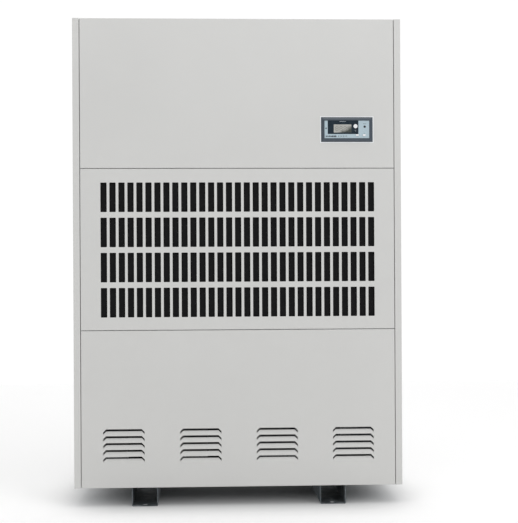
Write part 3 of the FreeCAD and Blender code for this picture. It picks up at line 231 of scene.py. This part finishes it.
def woven_filter():
    """Black air filter: a square nylon weave, with a little lint caught in it."""
    f = Finish("filter_weave", Specular_IOR_Level=0.15)
    x, _, z = f.axes()
    turns = 2 * math.pi / (1.6 * MM)
    weave = (f.sine(x * turns) * f.sine(z * turns) * 0.5 + 0.5).clamp()
    lint = (f.noise(45.0, 6.0, 0.75) - 0.52).clamp() * 2.2
    cloth = f.mix(weave, (0.002, 0.002, 0.0025), (0.011, 0.011, 0.012))
    f.set("Base Color", f.mix((lint * 0.18).clamp(), cloth, (0.07, 0.067, 0.063)))
    f.set("Roughness", f.spread(weave, 0.95, 0.6))
    f.bump(weave, 0.7, 0.0006)
    return f.material


def bezel_plastic():
    """Blue-grey moulded frame with a soft satin texture, paler where it has been handled."""
    f = Finish("bezel_moulding", Specular_IOR_Level=0.5)
    worn = f.noise(120.0, 4.0, 0.6)
    f.set("Base Color", f.mix(worn, (0.040, 0.056, 0.074), (0.062, 0.080, 0.102)))
    f.set("Roughness", f.spread(worn, 0.30, 0.42))
    f.bump(f.noise(2400.0, 2.0, 0.5), 0.25, 0.0001)
    return f.material


def printed_plate():
    """Pale blue-grey printed polycarbonate with a fine silver fleck."""
    f = Finish("face_plate_print", Specular_IOR_Level=0.5, Coat_Weight=0.3, Coat_Roughness=0.25)
    fleck = f.noise(1900.0, 2.0, 0.8)
    base = f.mix(fleck, (0.36, 0.46, 0.52), (0.49, 0.60, 0.66))
    f.set("Base Color", f.mix(f.noise(55.0, 2.0) * 0.4, base, (0.42, 0.55, 0.60)))
    f.set("Roughness", f.spread(fleck, 0.30, 0.48))
    f.bump(fleck, 0.2, 0.00006)
    return f.material


def tinted_field():
    """Dark blue-black display field, glossy, with the faintest cloud in it."""
    f = Finish("display_field", Specular_IOR_Level=0.16)
    f.set("Base Color", f.mix(f.noise(90.0, 3.0), (0.007, 0.014, 0.022), (0.024, 0.040, 0.054)))
    f.set("Roughness", f.spread(f.noise(260.0, 3.0), 0.16, 0.28))
    f.bump(f.noise(130.0, 2.0), 0.08, 0.0001)
    return f.material


def liquid_crystal():
    """Unlit display glass: warm grey with a painted reflection that turns it dark towards the lower right,
    over a fine square grid.
    """
    f = Finish("display_glass", Specular_IOR_Level=0.35, Coat_Weight=0.2, Coat_Roughness=0.08)
    x, _, z = f.axes()
    low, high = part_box("display_window")
    right, down = (x - low.x) * (1 / (high.x - low.x)), (high.z - z) * (1 / (high.z - low.z))
    # Painted reflection: the glass goes from pale grey to near black towards its lower right corner.
    corner = right + down * 0.9 + f.noise(70.0, 2.0) * 0.5
    shade = f.node("ShaderNodeMapRange", {"interpolation_type": "SMOOTHSTEP"},
                   {"Value": corner, "From Min": 1.25, "From Max": 1.8})
    turns, line = 2 * math.pi / (0.5 * MM), 0.86
    grid = ((f.sine(x * turns) > line) + (f.sine(z * turns) > line)).clamp()
    cloud = f.noise(48.0, 3.0, 0.6)
    glass = f.mix(shade, f.mix(cloud, (0.36, 0.365, 0.34), (0.55, 0.555, 0.53)), (0.035, 0.045, 0.040))
    f.set("Base Color", f.mix(grid * 0.35, glass, (0.17, 0.175, 0.155)))
    f.set("Roughness", f.spread(cloud, 0.10, 0.2))
    f.bump(grid, 0.05, 0.00005)
    return f.material


def lamp_tint():
    """Dark lens with a shallow moulded stipple."""
    f = Finish("lamp_tint", Coat_Weight=0.5, Coat_Roughness=0.05)
    f.set("Base Color", f.mix(f.noise(400.0, 2.0), (0.012, 0.014, 0.018), (0.035, 0.040, 0.048)))
    f.set("Roughness", f.spread(f.noise(500.0, 2.0), 0.12, 0.22))
    f.bump(f.cells(1500.0), 0.4, 0.0001)
    return f.material


def key_plastic():
    """White moulded key, a little uneven from handling."""
    f = Finish("key_moulding", Specular_IOR_Level=0.5, Coat_Weight=0.35, Coat_Roughness=0.15)
    worn = f.noise(240.0, 3.0, 0.6)
    f.set("Base Color", f.mix(worn, (0.80, 0.82, 0.84), (0.90, 0.91, 0.92)))
    f.set("Roughness", f.spread(worn, 0.24, 0.36))
    f.bump(f.noise(1800.0, 2.0), 0.15, 0.00006)
    return f.material


def solder_mask():
    """Green circuit board with faint tracks."""
    f = Finish("circuit_board_mask", Coat_Weight=0.3)
    x, _, z = f.axes()
    tracks = f.sine((x + z) * (2 * math.pi / (2.5 * MM)))
    f.set("Base Color", f.mix((tracks > 0.3) * 0.6, (0.010, 0.10, 0.045), (0.025, 0.19, 0.09)))
    f.set("Roughness", f.spread(f.noise(300.0), 0.3, 0.45))
    f.bump(tracks, 0.2, 0.0001)
    return f.material


def rubber():
    """Moulded rubber with a dusty bloom."""
    f = Finish("mount_rubber", Specular_IOR_Level=0.3)
    bloom = f.noise(60.0, 5.0, 0.7)
    f.set("Base Color", f.mix(bloom, (0.014, 0.014, 0.015), (0.040, 0.039, 0.038)))
    f.set("Roughness", f.spread(bloom, 0.62, 0.82))
    f.bump(f.noise(900.0, 3.0), 0.35, 0.0003)
    return f.material


def foam(name, colour):
    """Closed-cell foam with small skin bubbles."""
    f = Finish(name, Specular_IOR_Level=0.25)
    bubbles = f.cells(700.0)
    f.set("Base Color", f.mix(bubbles, shaded(colour, 0.55), colour))
    f.set("Roughness", f.spread(bubbles, 0.8, 0.95))
    f.bump(bubbles, 0.6, 0.0006)
    return f.material


def ink(name, colour):
    """Screen-printed ink, very slightly uneven."""
    f = Finish(name, Specular_IOR_Level=0.4)
    f.set("Base Color", f.mix(f.noise(700.0), shaded(colour, 0.8), colour))
    f.set("Roughness", f.spread(f.noise(500.0), 0.4, 0.55))
    f.bump(f.noise(900.0), 0.1, 0.00005)
    return f.material


CASING = powder_coat("casing_powder_coat", (0.640, 0.640, 0.628))
ZINC = galvanised("zinc_spangle")
SCREW_ZINC = bare_metal("screw_zinc", (0.62, 0.61, 0.57), 0.30, stain=(0.45, 0.40, 0.28))
GROUND = bare_metal("ground_steel", (0.52, 0.53, 0.55), 0.22, along=(0.1, 1.0, 1.0))
COPPER = bare_metal("drawn_copper", (0.72, 0.36, 0.22), 0.30, along=(0.15, 1.0, 1.0),
                    stain=(0.20, 0.10, 0.07), amount=0.3)
BRASS = bare_metal("machined_brass", (0.70, 0.52, 0.22), 0.28, stain=(0.25, 0.17, 0.07))
FIN = bare_metal("fin_stock", (0.74, 0.76, 0.78), 0.34, along=(1.0, 1.0, 0.2))
BLACK = moulded("black_moulding", (0.022, 0.022, 0.024), 0.48)
GREY = moulded("grey_moulding", (0.24, 0.25, 0.26), 0.45)
PIPE = moulded("pipe_moulding", (0.60, 0.60, 0.57), 0.38, 600.0)
SEAL = foam("seal_foam", (0.028, 0.028, 0.030))
LAMINATE = bare_metal("core_laminations", (0.16, 0.16, 0.17), 0.45, 0.8, along=(12.0, 1.0, 1.0))
GASKET = moulded("gasket_moulding", (0.80, 0.82, 0.83), 0.5)
INK_DARK = ink("dark_print", (0.012, 0.020, 0.032))
INK_PALE = ink("pale_print", (0.50, 0.56, 0.60))
FIGURES = ink("unlit_figures", (0.16, 0.165, 0.145))

NODES_OF_FINISH = [
    (CASING, "side_panel_left side_panel_right upper_front_panel lower_front_panel intake_door "
             "rear_panel_upper rear_panel_lower roof_panel discharge_grilles"),
    (ZINC, "base_pan corner_posts crossbars partition_sheets drain_tray fan_rails fan_brackets "
           "blower_housings impellers coil_end_plates electrical_box"),
    # The rails' zinc is made much darker than zinc: painted shade for the rails under the cabinet.
    (galvanised("rail_zinc_painted_shade", (0.145, 0.165, 0.18), 60.0, (0.62, 0.82)), "skid_rails"),
    (SCREW_ZINC, "panel_screws fan_bolts"),
    (GROUND, "door_hinge_pins fan_shaft motor_bearings"),
    (BLACK, "door_catches control_cover breaker_toggle cable_gland"),
    (moulded("filter_frame_moulding", (0.020, 0.020, 0.022), 0.55), "filter_frame"),
    (woven_filter(), "filter_mesh"),
    (bezel_plastic(), "control_bezel"),
    (printed_plate(), "control_face_plate"),
    (tinted_field(), "display_surround"),
    (liquid_crystal(), "display_window"),
    (lamp_tint(), "lamp_lens"),
    (key_plastic(), "power_key down_key up_key"),
    (solder_mask(), "control_board"),
    (enamel("motor_enamel", (0.07, 0.12, 0.19)), "motor_housing"),
    (LAMINATE, "motor_stator motor_rotor"),
    (cast_iron("bearing_casting"), "pillow_blocks"),
    (COPPER, "evaporator_tubes condenser_tubes refrigerant_lines"),
    (FIN, "evaporator_fins condenser_fins"),
    (PIPE, "drain_pipe drain_fitting"),
    (GREY, "float_switch breaker"),
    (foam("float_foam", (0.72, 0.70, 0.62)), "level_float"),
    (enamel("compressor_enamel", (0.012, 0.012, 0.013)), "compressor_shells"),
    (rubber(), "compressor_mounts"),
    (enamel("drier_enamel", (0.02, 0.05, 0.12)), "filter_drier"),
    (BRASS, "expansion_valve"),
    (moulded("contactor_moulding", (0.10, 0.10, 0.105), 0.5), "contactors"),
]
for finish, node_names in NODES_OF_FINISH:
    for node_name in node_names.split():
        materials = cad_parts[node_name].data.materials
        materials.clear()
        materials.append(finish)


# ---- making pieces ------------------------------------------------------------------------------
def keep(name, bm, finish):
    """Turns a bmesh into a piece that rides on the cabinet."""
    mesh = bpy.data.meshes.new(name)
    bm.to_mesh(mesh)
    bm.free()
    mesh.materials.append(finish)
    piece = bpy.data.objects.new(name, mesh)
    bpy.context.collection.objects.link(piece)
    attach(piece, "cabinet")
    return piece


def block(bm, low, high, rounding):
    """Block between two corners, with its edges rounded."""
    low, high = Vector(low), Vector(high)
    made = bmesh.ops.create_cube(bm, size=1.0)["verts"]
    bmesh.ops.scale(bm, vec=high - low, verts=made)
    bmesh.ops.translate(bm, vec=(low + high) / 2, verts=made)
    edges = {e for v in made for e in v.link_edges}
    bmesh.ops.bevel(bm, geom=list(edges), offset=rounding, segments=2, profile=0.5,
                    affect="EDGES", material=-1)


def flat_shape(bm, centre, size, sides, thick, turn=0.0):
    """Raised flat shape facing the front: a regular outline with that many sides, stretched to size.

    A four-sided outline turned by an eighth fills its size as a rectangle."""
    made = bmesh.ops.create_circle(bm, cap_ends=True, segments=sides, radius=0.5)["verts"]
    bmesh.ops.rotate(bm, cent=(0, 0, 0), matrix=Matrix.Rotation(turn, 3, "Z"), verts=made)
    if sides == 4:
        bmesh.ops.scale(bm, vec=(math.sqrt(2), math.sqrt(2), 1), verts=made)
    bmesh.ops.scale(bm, vec=(size[0], size[1], 1), verts=made)
    bmesh.ops.rotate(bm, cent=(0, 0, 0), matrix=Matrix.Rotation(math.pi / 2, 3, "X"), verts=made)
    faces = list({f for v in made for f in v.link_faces})
    out = bmesh.ops.extrude_face_region(bm, geom=faces)["geom"]
    front = [g for g in out if isinstance(g, bmesh.types.BMVert)]
    bmesh.ops.translate(bm, vec=(0, -thick, 0), verts=front)
    bmesh.ops.translate(bm, vec=centre, verts=made + front)


def tidy_normals(bm):
    """Points every face outwards."""
    bmesh.ops.recalc_face_normals(bm, faces=bm.faces)


# ---- coils --------------------------------------------------------------------------------------
def fin_stack(node_name, name):
    """Rippled aluminium fins at close pitch, in place of the solid block that carries their weight."""
    low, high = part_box(node_name)
    pitch, thick, ripple, folds = 2.0 * MM, 0.2 * MM, 1.1 * MM, 8
    bm = bmesh.new()
    bmesh.ops.create_grid(bm, x_segments=folds, y_segments=1, size=0.5)   # a sheet, then turned upright
    bmesh.ops.scale(bm, vec=(high.y - low.y, high.z - low.z, 1), verts=bm.verts)
    bmesh.ops.rotate(bm, cent=(0, 0, 0), matrix=Matrix.Rotation(math.pi / 2, 3, "X"), verts=bm.verts)
    bmesh.ops.rotate(bm, cent=(0, 0, 0), matrix=Matrix.Rotation(math.pi / 2, 3, "Z"), verts=bm.verts)
    step = (high.y - low.y) / folds
    for vert in bm.verts:
        vert.co.x += ripple if round(vert.co.y / step) % 2 else 0.0
    bmesh.ops.solidify(bm, geom=list(bm.faces), thickness=thick)
    place = (low.x + ripple, (low.y + high.y) / 2, (low.z + high.z) / 2)
    bmesh.ops.translate(bm, vec=place, verts=bm.verts)
    tidy_normals(bm)
    piece = keep(name, bm, FIN)
    stack = piece.modifiers.new("fin_pitch", "ARRAY")
    stack.use_relative_offset, stack.use_constant_offset = False, True
    stack.constant_offset_displace = (pitch, 0, 0)
    stack.count = int((high.x - low.x - 2 * ripple) / pitch)
    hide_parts(node_name)


fin_stack("evaporator_fins", "evaporator_fin_stack")
fin_stack("condenser_fins", "condenser_fin_stack")


# ---- seals and lining ---------------------------------------------------------------------------
def panel_seals():
    """Foam strips along the crossbars, that the front panels close against."""
    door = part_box("intake_door")
    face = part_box("crossbars")[0].y
    back, reach = door[1].y + 0.4 * MM, door[1].x - 22 * MM       # clear of the panels and the posts
    off_seam, half_wide = 7.5 * MM, 5 * MM
    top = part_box("upper_front_panel")[1].z - 24 * MM              # a line below the panel's top edge
    bm = bmesh.new()
    for seam, sides in ((door[0].z, (-1, 1)), (door[1].z, (-1, 1)), (top, (-1,))):
        for side in sides:
            z = seam + side * off_seam
            block(bm, (-reach, back, z - half_wide), (reach, face, z + half_wide), 1.2 * MM)
    keep("panel_seals", bm, SEAL)


def lining():
    """Foam lining on the side and rear skins of the coil bay."""
    left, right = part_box("side_panel_left"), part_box("side_panel_right")
    deck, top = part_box("drain_tray")[1].z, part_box("fan_rails")[0].z - 4 * MM
    skin, thick, rounding = 1.6 * MM, 7 * MM, 2 * MM
    post_deep, post_wide = 32 * MM, 56 * MM                       # room left for the rear posts
    y0, y1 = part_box("evaporator_fins")[0].y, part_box("rear_panel_upper")[0].y - 3 * MM
    inside_left, inside_right = left[0].x + skin, right[1].x - skin
    bm = bmesh.new()
    for x0, x1 in ((inside_left, inside_left + thick), (inside_right - thick, inside_right)):
        block(bm, (x0, y0, deck), (x1, y1 - post_deep, top), rounding)
    block(bm, (left[0].x + post_wide, y1 - thick, deck), (right[1].x - post_wide, y1, top), rounding)
    keep("coil_bay_lining", bm, SEAL)


panel_seals()
lining()


# ---- control unit -------------------------------------------------------------------------------
PRINT, EIGHTH = 0.06 * MM, math.pi / 4            # a print's thickness, and the turn that squares four sides


def plate_marks():
    """Printed signs: a row of drops beside a dial scale, an arrow over the up key, dashes by the lamp."""
    low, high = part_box("control_face_plate")
    cx, cz, face = (low.x + high.x) / 2 + 0.5 * MM, (low.z + high.z) / 2, low.y
    bm = bmesh.new()

    def sign(x, z, w, h, sides=4, turn=EIGHTH):
        flat_shape(bm, (cx + x * MM, face, cz + z * MM), (w * MM, h * MM), sides, PRINT, turn)

    for i in range(7):                                            # drops, each a round with a point on top
        x, z, size = -76.5 + 5.8 * i, -25.8, 4.2 + 0.2 * i
        sign(x, z, size, size, 20)
        sign(x, z + size * 0.62, size * 0.72, size * 0.8, 3, 2 * EIGHTH)
    for i in range(6):                                            # scale, long and short lines by turns
        sign(-31.5 + 6.0 * i, -25.0, 1.3 if i % 2 else 2.2, 3.6 + 3.0 * (i % 2))
    sign(-77.0, 3.5, 5.0, 4.2, 20)                                # one more drop, left of the field
    sign(-77.0, 7.0, 3.4, 3.6, 3, 2 * EIGHTH)
    sign(63.0, -14.2, 3.6, 3.0, 3, 2 * EIGHTH)                    # arrow over the up key
    for i in range(3):                                            # dashes over the lamp
        sign(61.0 + 4.0 * i, 20.5, 2.6, 1.5)
    tidy_normals(bm)
    keep("face_plate_signs", bm, INK_DARK)


def field_marks():
    """Pale signs on the dark field: a row of dashes over the display, and a power sign under its key."""
    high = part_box("display_surround")[1]
    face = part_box("display_surround")[0].y
    key_low, key_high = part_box("power_key")
    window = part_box("display_window")
    bm = bmesh.new()
    middle, top = (window[0].x + window[1].x) / 2, high.z - 3.4 * MM
    for i in range(5):
        flat_shape(bm, (middle + (i - 2) * 4.6 * MM, face, top), (3.4 * MM, 1.7 * MM), 4, PRINT, EIGHTH)
    centre = Vector(((key_low.x + key_high.x) / 2, face, key_low.z - 9.0 * MM))
    radius, dot, dots, half_gap = 2.3 * MM, 0.8 * MM, 13, 0.65    # open ring of dots, its gap at the top
    for i in range(dots):
        angle = math.pi / 2 + half_gap + i * 2 * (math.pi - half_gap) / (dots - 1)
        at = centre + Vector((math.cos(angle), 0, math.sin(angle))) * radius
        flat_shape(bm, at, (dot, dot), 8, PRINT)
    flat_shape(bm, centre + Vector((0, 0, 1.7 * MM)), (0.7 * MM, 2.6 * MM), 4, PRINT, EIGHTH)
    tidy_normals(bm)
    keep("display_field_signs", bm, INK_PALE)


def ghost_digits():
    """Unlit figure segments on the display glass: three figures, and a small pair beside them."""
    low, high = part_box("display_window")
    face, thick = low.y, 0.05 * MM
    cx, cz = (low.x + high.x) / 2, (low.z + high.z) / 2
    bm = bmesh.new()

    def figure(x, z, w, h, bar):
        """Seven segments whose centre is x and z millimetres from the glass's."""
        x, z, w, h, bar = cx + x * MM, cz + z * MM, w * MM, h * MM, bar * MM
        up = (h - bar) / 2
        for row in (-1, 0, 1):
            flat_shape(bm, (x, face, z + row * up), (w - bar, bar), 6, thick)
        for side in (-1, 1):
            for row in (-1, 1):
                at = (x + side * w / 2, face, z + row * up / 2)
                flat_shape(bm, at, (bar, up * 0.94), 6, thick, math.pi / 6)

    for i in range(3):
        figure(-21 + 15 * i, -0.5, 9, 17, 2.0)
    for i in range(2):
        figure(20.5 + 7 * i, 4.5, 4, 8, 1.0)
    tidy_normals(bm)
    keep("display_figures", bm, FIGURES)


def bezel_gasket():
    """Pale gasket between the bezel and the panel, showing as a thin light rim."""
    low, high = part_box("control_bezel")
    panel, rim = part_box("upper_front_panel")[0].y, 3.6 * MM
    front, back = panel - 0.9 * MM, panel - 0.02 * MM
    x0, x1, z0, z1 = low.x - rim, high.x + rim, low.z - rim, high.z + rim
    bm = bmesh.new()
    strips = (x0, x1, z0, z0 + rim), (x0, x1, z1 - rim, z1)
    sides = (x0, x0 + rim, z0 + rim, z1 - rim), (x1 - rim, x1, z0 + rim, z1 - rim)
    for ax, bx, az, bz in strips + sides:
        block(bm, (ax, front, az), (bx, back, bz), 0.25 * MM)
    keep("bezel_gasket", bm, GASKET)


bezel_gasket()
plate_marks()
field_marks()
ghost_digits()


# ---- rear fittings ------------------------------------------------------------------------------
def gland_ribs():
    """Grip ribs round the gland's cap."""
    low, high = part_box("cable_gland")
    cx, cz = (low.x + high.x) / 2, (low.z + high.z) / 2
    radius, ribs, length = 15.3 * MM, 20, 10 * MM
    bm = bmesh.new()
    for i in range(ribs):
        made = bmesh.ops.create_cone(bm, cap_ends=True, segments=8, radius1=1.1 * MM, radius2=0.9 * MM,
                                     depth=length)["verts"]
        bmesh.ops.rotate(bm, cent=(0, 0, 0), matrix=Matrix.Rotation(-math.pi / 2, 3, "X"), verts=made)
        angle = 2 * math.pi * i / ribs
        at = (cx + radius * math.cos(angle), high.y - 10.5 * MM, cz + radius * math.sin(angle))
        bmesh.ops.translate(bm, vec=at, verts=made)
    tidy_normals(bm)
    keep("gland_grip_ribs", bm, BLACK)


gland_ribs()


# ---- stage --------------------------------------------------------------------------------------
def stage_sheet(name, corners, finish):
    """One flat sheet of the studio, that isn't part of the object."""
    bm = bmesh.new()
    made = [bmesh.ops.create_vert(bm, co=c)["vert"][0] for c in corners]
    bmesh.ops.contextual_create(bm, geom=made)
    mesh = bpy.data.meshes.new(name)
    bm.to_mesh(mesh)
    bm.free()
    mesh.materials.append(finish.material)
    sheet = bpy.data.objects.new(name, mesh)
    bpy.context.collection.objects.link(sheet)


def floor_paper():
    """White paper with a wide, soft painted shadow where the cabinet stands; outside the painted shadow the
    paper glows evenly.
    """
    f = Finish("studio_paper", Roughness=0.95, Specular_IOR_Level=0.0)
    x, y, _ = f.axes()

    def fade(value, start, end, low, high, curve="SMOOTHSTEP"):
        return f.node("ShaderNodeMapRange", {"interpolation_type": curve},
                      {"Value": value, "From Min": start, "From Max": end, "To Min": low, "To Max": high})

    # Painted shadow on the paper: dark under the cabinet, fading out to the sides, to the front and far
    # behind.
    across = f.node("ShaderNodeMath", {"operation": "ABSOLUTE"}, {0: x})
    side = fade(across, 0.34, 0.77, 1.0, 0.0, "SMOOTHERSTEP")
    front = fade(y, -0.46, 0.0, 0.0, 1.0)
    back = fade(y, 0.35, 1.7, 1.0, 0.0)
    painted_shadow = side * front * back
    # The painted shadow darkens the paper's colour and takes its glow away.
    f.set("Base Color", f.mix(painted_shadow, (0.92, 0.92, 0.92), (0.40, 0.40, 0.40)))
    f.set("Emission Strength", 0.20)
    f.set("Emission Color", f.mix(painted_shadow, (1.0, 1.0, 1.0), (0.0, 0.0, 0.0)))
    return f


def softbox(name, at, aim, size, power):
    """Rectangular area light, turned towards a point."""
    light = bpy.data.lights.new(name, "AREA")
    light.shape, light.size, light.size_y = "RECTANGLE", size[0], size[1]
    light.energy = power
    lamp = bpy.data.objects.new(name, light)
    lamp.location = at
    lamp.rotation_euler = (Vector(aim) - Vector(at)).to_track_quat("-Z", "Y").to_euler()
    bpy.context.collection.objects.link(lamp)


def studio():
    """White floor, glowing backdrop, and soft light from the air, overhead and the front."""
    side, rear, top = 9, 4, 9
    stage_sheet("studio_floor", [(-side, -side, 0), (side, -side, 0), (side, rear, 0), (-side, rear, 0)],
                floor_paper())
    glow = Finish("studio_backdrop", Base_Color=(0, 0, 0), Roughness=1.0, Specular_IOR_Level=0.0,
                  Emission_Color=(1, 1, 1), Emission_Strength=1.02)
    stage_sheet("studio_backdrop", [(-side, rear, 0), (side, rear, 0), (side, rear, top), (-side, rear, top)],
                glow)
    world = bpy.data.worlds.new("studio_air")
    world.use_nodes = True
    sky = world.node_tree.nodes["Background"]
    sky.inputs["Color"].default_value = (1.0, 1.0, 1.0, 1.0)
    sky.inputs["Strength"].default_value = 0.60
    bpy.context.scene.world = world
    softbox("overhead_box", (0.3, -1.6, 4.2), (0.0, 0.0, 0.9), (3.5, 2.5), 40.0)
    softbox("front_box", (3.6, -4.4, 3.6), (0.0, 0.0, 1.2), (2.5, 2.5), 42.0)


def camera():
    """Camera in front, at about half the cabinet's height, level and turned slightly."""
    yaw, roll = math.radians(2.11), math.radians(0.295)
    distance, height = 3.6, 0.832
    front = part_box("intake_door")[0].y
    lens = bpy.data.cameras.new("studio_camera")
    lens.lens, lens.sensor_width = 67.82, 36.0
    lens.shift_x, lens.shift_y = 0.0395, 0.0316
    body = bpy.data.objects.new("studio_camera", lens)
    body.location = (-distance * math.sin(yaw), front - distance * math.cos(yaw), height)
    upright = Matrix.Rotation(math.pi / 2, 4, "X")
    aim = Matrix.Rotation(-yaw, 4, "Z") @ upright @ Matrix.Rotation(-roll, 4, "Z")
    body.rotation_euler = aim.to_euler()
    bpy.context.collection.objects.link(body)
    bpy.context.scene.camera = body


studio()
camera()
bpy.context.scene.view_settings.view_transform = "Standard"
